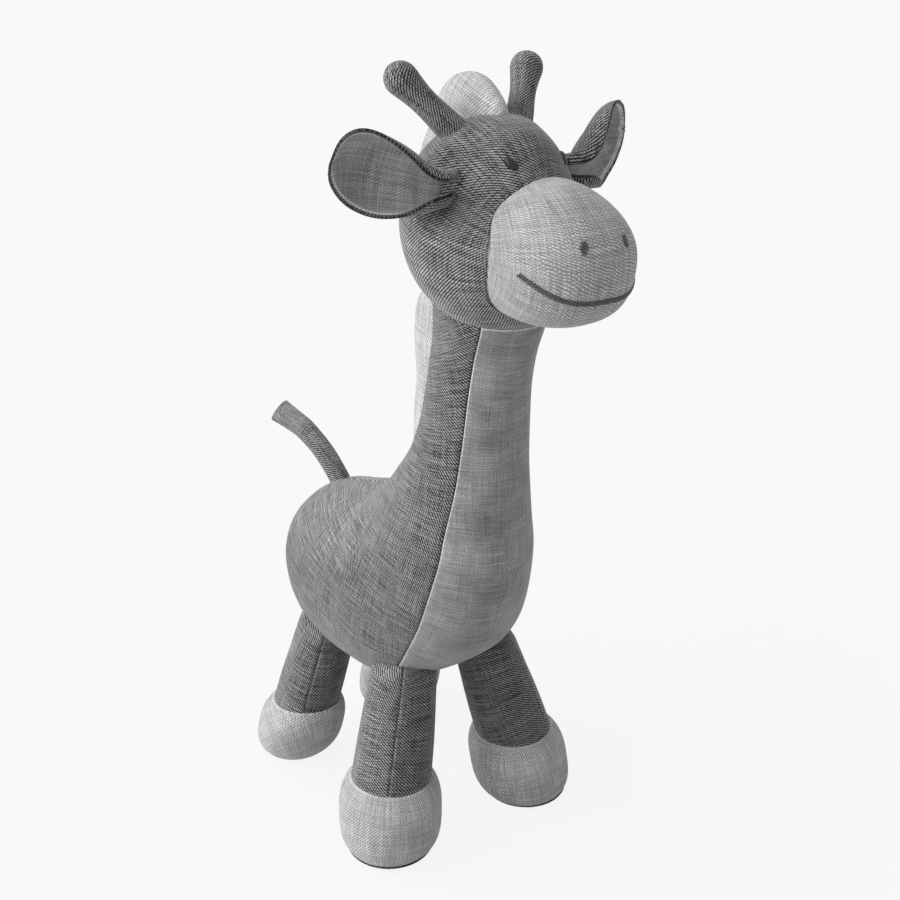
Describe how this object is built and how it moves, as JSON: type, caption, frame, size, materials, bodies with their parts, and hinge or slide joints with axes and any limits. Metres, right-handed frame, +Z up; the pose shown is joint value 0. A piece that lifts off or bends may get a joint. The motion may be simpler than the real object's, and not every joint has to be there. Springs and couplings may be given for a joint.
{
  "type": "plush giraffe",
  "caption": "Stuffed standing giraffe in grey twill with a pale muzzle, hooves and mane, bead eyes and horns, whose head, ears, tail and legs give at their seams.",
  "frame": {"origin": "on the floor under the middle of the toy, at the bottom centre of its box", "axes": "+Z up, the toy faces -Y, +X towards its left side"},
  "size_m": [0.1432, 0.2724, 0.3712],
  "materials": {
    "dark_twill": "dark charcoal twill with a slubbed weave",
    "grey_twill": "mid grey twill with a slubbed weave",
    "light_twill": "light grey twill",
    "pale_twill": "almost white twill",
    "thread": "thick dark embroidery thread in satin stitch",
    "bead": "glossy black plastic",
    "stuffing": "loose white polyester fibre"
  },
  "bodies": {
    "torso": {"chest_panel": "grey_twill", "side_panel_right": "dark_twill", "side_panel_left": "dark_twill", "trunk_stuffing": "stuffing", "neck_stuffing": "stuffing", "neck_mane": "pale_twill", "neck_mane_stuffing": "stuffing"},
    "tail": {"tail": "dark_twill", "tail_stuffing": "stuffing"},
    "head": {"head_cover": "dark_twill", "muzzle_cover": "light_twill", "head_stuffing": "stuffing", "mouth_stitch": "thread", "head_mane": "pale_twill", "head_mane_stuffing": "stuffing", "eye_right": "bead", "eye_washer_right": "bead", "nostril_right": "thread", "horn_right": "dark_twill", "horn_stuffing_right": "stuffing", "eye_left": "bead", "eye_washer_left": "bead", "nostril_left": "thread", "horn_left": "dark_twill", "horn_stuffing_left": "stuffing"},
    "ear_right": {"ear_back_right": "dark_twill", "ear_lining_right": "grey_twill"},
    "ear_left": {"ear_back_left": "dark_twill", "ear_lining_left": "grey_twill"},
    "leg_front_right": {"leg_panel_outer_front_right": "dark_twill", "leg_panel_inner_front_right": "dark_twill", "hoof_cover_front_right": "light_twill", "leg_stuffing_front_right": "stuffing", "sole_front_right": "dark_twill"},
    "leg_front_left": {"leg_panel_outer_front_left": "dark_twill", "leg_panel_inner_front_left": "dark_twill", "hoof_cover_front_left": "light_twill", "leg_stuffing_front_left": "stuffing", "sole_front_left": "dark_twill"},
    "leg_rear_right": {"leg_panel_outer_rear_right": "dark_twill", "leg_panel_inner_rear_right": "dark_twill", "hoof_cover_rear_right": "light_twill", "leg_stuffing_rear_right": "stuffing", "sole_rear_right": "dark_twill"},
    "leg_rear_left": {"leg_panel_outer_rear_left": "dark_twill", "leg_panel_inner_rear_left": "dark_twill", "hoof_cover_rear_left": "light_twill", "leg_stuffing_rear_left": "stuffing", "sole_rear_left": "dark_twill"}
  },
  "joints": [
    {"name": "head_nod", "type": "hinge", "parent": "torso", "child": "head", "pos_m": [0, -0.06752, 0.308], "axis": [1, 0, 0], "range_deg": [-10, 10], "stiffness_Nm_per_rad": 2},
    {"name": "tail_swing", "type": "hinge", "parent": "torso", "child": "tail", "pos_m": [0, 0.06101, 0.13515], "axis": [1, 0, 0], "range_deg": [-15, 15], "stiffness_Nm_per_rad": 0.2},
    {"name": "ear_flap_right", "type": "hinge", "parent": "head", "child": "ear_right", "pos_m": [-0.03299, -0.07652, 0.3254], "axis": [0, 0, 1], "range_deg": [-10, 20], "stiffness_Nm_per_rad": 0.05},
    {"name": "ear_flap_left", "type": "hinge", "parent": "head", "child": "ear_left", "pos_m": [0.03299, -0.07652, 0.3254], "axis": [0, 0, -1], "range_deg": [-10, 20], "stiffness_Nm_per_rad": 0.05},
    {"name": "leg_swing_front_right", "type": "hinge", "parent": "torso", "child": "leg_front_right", "pos_m": [-0.024, -0.02851, 0.086], "axis": [1, 0, 0], "range_deg": [-15, 15], "stiffness_Nm_per_rad": 4},
    {"name": "leg_swing_front_left", "type": "hinge", "parent": "torso", "child": "leg_front_left", "pos_m": [0.024, -0.02851, 0.086], "axis": [1, 0, 0], "range_deg": [-15, 15], "stiffness_Nm_per_rad": 4},
    {"name": "leg_swing_rear_right", "type": "hinge", "parent": "torso", "child": "leg_rear_right", "pos_m": [-0.026, 0.04049, 0.083], "axis": [1, 0, 0], "range_deg": [-15, 15], "stiffness_Nm_per_rad": 4},
    {"name": "leg_swing_rear_left", "type": "hinge", "parent": "torso", "child": "leg_rear_left", "pos_m": [0.026, 0.04049, 0.083], "axis": [1, 0, 0], "range_deg": [-15, 15], "stiffness_Nm_per_rad": 4}
  ]
}
